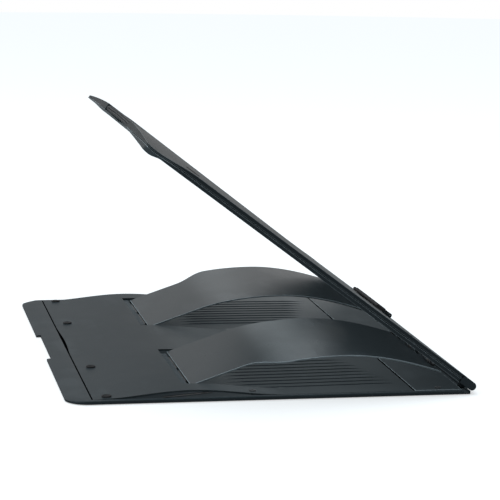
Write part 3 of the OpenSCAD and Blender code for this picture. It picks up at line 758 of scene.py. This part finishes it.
class RISER_OT_arms(bpy.types.Operator):
    """Arms: curved straps that flare beyond their tongues, with rounded edges

    A strap thickens from 0.9 at its edges to 1.6 over 4 mm, and flares as a half cosine over 24 mm.
    """

    bl_idname = "riser.arms"
    bl_label = "Arms"

    def execute(self, context):
        edge = settings()[0].edge_round
        line = arm_line(30)
        along = np.gradient(line, axis=0)
        along /= np.linalg.norm(along, axis=1)[:, None]
        square = np.stack([-along[:, 1], along[:, 0]], 1)
        x = line[:, 0]
        wide = TONGUE_OUT + FLARE * (1 - np.cos(np.pi * np.clip((x + 14) / 24, 0, 1))) / 2
        count = 40
        y = ARM_IN + (wide[:, None] - ARM_IN) * np.linspace(0, 1, count)
        top = np.stack([np.repeat(line[:, :1], count, 1), y, np.repeat(line[:, 1:], count, 1)], -1)
        inset = np.minimum(y - ARM_IN, wide[:, None] - y)
        thick = 0.9 + 0.7 * ease(inset / 4)
        under = top - thick[..., None] * np.stack([square[:, 0], 0 * x, square[:, 1]], 1)[:, None]
        foot = (PIVOT[0] + 0.4, PIVOT[2] - 4.2)
        parts = [shell(top, under)] + [self.knuckle(PIVOT, PIVOT_BARREL_R, y0, y0 + PIVOT_BARREL_W, foot)
                                       for y0 in PIVOT_BARRELS]
        toes = [self.knuckle(TOE, TOE_BARREL_R, y0, y1, (-46.2, 5.0)) for y0, y1 in TOE_BARRELS]
        for name, turned in (("left", flipped), ("right", lambda part: part)):
            body = "arm_" + name
            put("strap_" + name, [turned(part) for part in parts], body, "arm_plastic", [body], edge * 0.8)
            put("toe_barrels_" + name, [turned(part) for part in toes], body, "arm_plastic")
            self.strip(name, turned)
        return {"FINISHED"}

    def knuckle(self, axis, radius, y0, y1, foot):
        """A barrel round an axis, from y0 to y1, whose outline is drawn out to a foot on the strap."""
        x, _, z = axis
        away = math.atan2(foot[1] - z, foot[0] - x)
        a = away + np.linspace(0.25 * math.pi, 1.75 * math.pi, 22)
        outline = np.concatenate([np.stack([x + radius * np.cos(a), z + radius * np.sin(a)], -1), [foot]])
        ys = np.array([y0, y1])
        return loft(np.stack(np.broadcast_arrays(outline[None, :, 0], ys[:, None], outline[None, :, 1]), -1))

    def strip(self, name, turned):
        """Toe strip: a low plate behind the strap's toe, with fine ridges z = 5.45 + 0.14 |sin(pi y / 1.5)|."""
        x, y = grid((-57.0, -52.0, -50.6, -49.2), lines((48, 140, 369)))
        part = plate(x, y, 5.45 + 0.14 * np.abs(np.sin(np.pi * y / 1.5)), 4.9)
        put("toe_strip_" + name, [turned(part)], "toe_" + name, "slide_plastic", ["toe_pad_" + name])


class RISER_OT_fittings(bpy.types.Operator):
    """Finishes for the fittings that keep their engineered shapes: rods, pins, lugs, brackets, slides and screws"""

    bl_idname = "riser.fittings"
    bl_label = "Fittings"

    def execute(self, context):
        for name, node in frame["nodes"].items():
            if not node.hide_render:
                node.data.materials.clear()
                node.data.materials.append(finish_for(SLOTS[name]))
        return {"FINISHED"}


# ---- stage ----

SHELLS = ["tray", "panel", "hinge_plate", "pocket_ribs", "platform_tray", "nose", "grip", "toe_strip_left",
          "toe_strip_right", "panel_screws"]
STRAPS = ["strap_left", "strap_right"]

# each lamp's name, place and size in metres, power in watts, and the pieces it is limited to
LAMPS = (
    ("left", (-1.7, -0.35, 0.95), 0.9, 5, None),
    ("top", (-0.25, 0.45, 1.7), 1.2, 7, None),
    ("sky", (-0.5, -0.3, 1.9), 1.6, 40, "lit_pieces"),
    ("sheen_left", (0.42, 2.5, 0.55), 0.3, 1.3, "left_strap"),
    ("sheen_right", (0.26, 2.5, 0.66), 0.3, 0.3, "right_strap"),
    ("sheen_low", (0.60, 2.5, 0.30), 0.4, 1.1, "shells"),
)
LAMP_COLOUR = (0.9, 1.0, 1.05)

# the world's strength and colour for rays that should see less than plain white, and plain white
SOFT, COOL, WHITE = 0.58, (0.90, 1.0, 1.06, 1), (1, 1, 1, 1)

# the camera's turn, dip and roll in degrees, what it looks at and from how far in metres, and its lens
YAW, DIP, ROLL = 10.66, 9.23, 0.8
AIM, DISTANCE = (0.0145, 0.0, 0.0644), 1.482
LENS, SENSOR = 159.624, 36


class RISER_OT_stage(bpy.types.Operator):
    """Pale floor, white surroundings, soft lamps and the camera"""

    bl_idname = "riser.stage"
    bl_label = "Stage"

    def execute(self, context):
        scene = context.scene
        scene.view_settings.view_transform = "Standard"
        self.world(scene)
        self.floor(scene)
        floor_only = self.group("floor_only", [scene.objects["floor"]])
        lit = {name: self.group(name, [scene.objects[member] for member in members])
               for name, members in (("lit_pieces", SHELLS + STRAPS), ("shells", SHELLS), ("left_strap", STRAPS[:1]),
                                     ("right_strap", STRAPS[1:]))}
        for name, place, size, power, group in LAMPS:
            lamp = self.lamp(name, place, size, power)
            if group:
                lamp.light_linking.receiver_collection = lit[group]
                lamp.light_linking.blocker_collection = floor_only
        self.camera(scene)
        return {"FINISHED"}

    def world(self, scene):
        """Plain white to camera, glossy and transmission rays, softer and cooler to the rest."""
        world = bpy.data.worlds.new("surroundings")
        scene.world = world
        world.use_nodes = True
        tree = world.node_tree
        tree.nodes.clear()
        path = tree.nodes.new("ShaderNodeLightPath")
        white = Wire(tree, path.outputs["Is Camera Ray"]) + Wire(tree, path.outputs["Is Glossy Ray"]) \
            + Wire(tree, path.outputs["Is Transmission Ray"])
        back = tree.nodes.new("ShaderNodeBackground")
        tree.links.new((white * (1 - SOFT) + SOFT).socket, back.inputs["Strength"])
        out = tree.nodes.new("ShaderNodeOutputWorld")
        tree.links.new(back.outputs[0], out.inputs[0])
        shade = tree.nodes.new("ShaderNodeMix")
        shade.data_type = "RGBA"
        shade.inputs[6].default_value, shade.inputs[7].default_value = COOL, WHITE
        tree.links.new(white.socket, shade.inputs[0])
        tree.links.new(shade.outputs[2], back.inputs["Color"])

    def floor(self, scene):
        """A pale disc that shows white to the camera except in the object's shadow."""
        f = Finish("floor")
        diffuse = f.node("BsdfDiffuse", Color=(0.82, 0.82, 0.82, 1))
        glow = f.node("Emission", Color=WHITE, Strength=f.node("LightPath") * 0.5)
        both = f.node("AddShader")
        node = both.socket.node
        f.tree.links.new(diffuse.socket, node.inputs[0])
        f.tree.links.new(glow.socket, node.inputs[1])
        f.tree.links.new(node.outputs[0], f.output.inputs[0])
        points, blocks = lathe([(0, -20), (4000, -20), (4000, 0), (0, 0)], (0, 0, 0), (0, 0, 1), count=64)
        mesh = bpy.data.meshes.new("floor")
        mesh.from_pydata((points / 1000).tolist(), [], [face for block in blocks for face in block.tolist()])
        floor = bpy.data.objects.new("floor", mesh)
        mesh.materials.append(f.material)
        scene.collection.objects.link(floor)

    def group(self, name, members):
        """A collection that a lamp's light or shadow is limited to."""
        made = bpy.data.collections.new(name)
        for member in members:
            made.objects.link(member)
        return made

    def lamp(self, name, place, size, power):
        """An area lamp that faces the object."""
        data = bpy.data.lights.new(name, "AREA")
        data.shape, data.size, data.energy = "DISK", size, power
        lamp = bpy.data.objects.new(name, data)
        lamp.location = place
        lamp.rotation_euler = (Vector((0, 0, 0.05)) - Vector(place)).to_track_quat("-Z", "Y").to_euler()
        data.color = LAMP_COLOUR
        lamp.visible_camera = False
        bpy.context.scene.collection.objects.link(lamp)
        return lamp

    def camera(self, scene):
        """A long lens from low on the left, rolled by under a degree."""
        yaw, up, roll = math.radians(YAW), math.radians(DIP), math.radians(ROLL)
        ahead = Vector((math.sin(yaw) * math.cos(up), math.cos(yaw) * math.cos(up), -math.sin(up)))
        right = Vector((math.cos(yaw), -math.sin(yaw), 0))
        over = right.cross(ahead)
        turned = right * math.cos(roll) + over * math.sin(roll)
        upward = -right * math.sin(roll) + over * math.cos(roll)
        data = bpy.data.cameras.new("camera")
        data.lens, data.sensor_width = LENS, SENSOR
        data.clip_end = 50
        camera = bpy.data.objects.new("camera", data)
        eye = Vector(AIM) - ahead * DISTANCE
        basis = Matrix((turned, upward, -ahead)).transposed().to_4x4()
        camera.matrix_world = Matrix.Translation(eye) @ basis
        scene.collection.objects.link(camera)
        scene.camera = camera


OPERATORS = (RISER_OT_tray, RISER_OT_panel, RISER_OT_ribs, RISER_OT_feet, RISER_OT_platform, RISER_OT_grip,
             RISER_OT_stop, RISER_OT_arms, RISER_OT_fittings, RISER_OT_stage)


class RISER_PT_sidebar(bpy.types.Panel):
    """Sizes, colours and one button for each piece"""

    bl_label = "Folding laptop riser"
    bl_idname = "RISER_PT_sidebar"
    bl_space_type = "VIEW_3D"
    bl_region_type = "UI"
    bl_category = "Riser"

    def draw(self, context):
        for group in settings():
            column = self.layout.column()
            for key in group.__annotations__:
                column.prop(group, key)
        for operator in OPERATORS:
            self.layout.operator(operator.bl_idname)


CLASSES = (RiserSizes, RiserColours) + OPERATORS + (RISER_PT_sidebar,)


def register():
    """Registers the classes and the scene's two groups of settings."""
    for cls in CLASSES:
        bpy.utils.register_class(cls)
    bpy.types.Scene.riser_sizes = bpy.props.PointerProperty(type=RiserSizes)
    bpy.types.Scene.riser_colours = bpy.props.PointerProperty(type=RiserColours)


def unregister():
    """Takes the settings and classes away again."""
    del bpy.types.Scene.riser_colours
    del bpy.types.Scene.riser_sizes
    for cls in reversed(CLASSES):
        bpy.utils.unregister_class(cls)


def main():
    """Builds every piece in order."""
    register()
    for operator in OPERATORS:
        group, name = operator.bl_idname.split(".")
        getattr(getattr(bpy.ops, group), name)()
    bpy.context.view_layer.update()


if __name__ == "__main__":
    main()
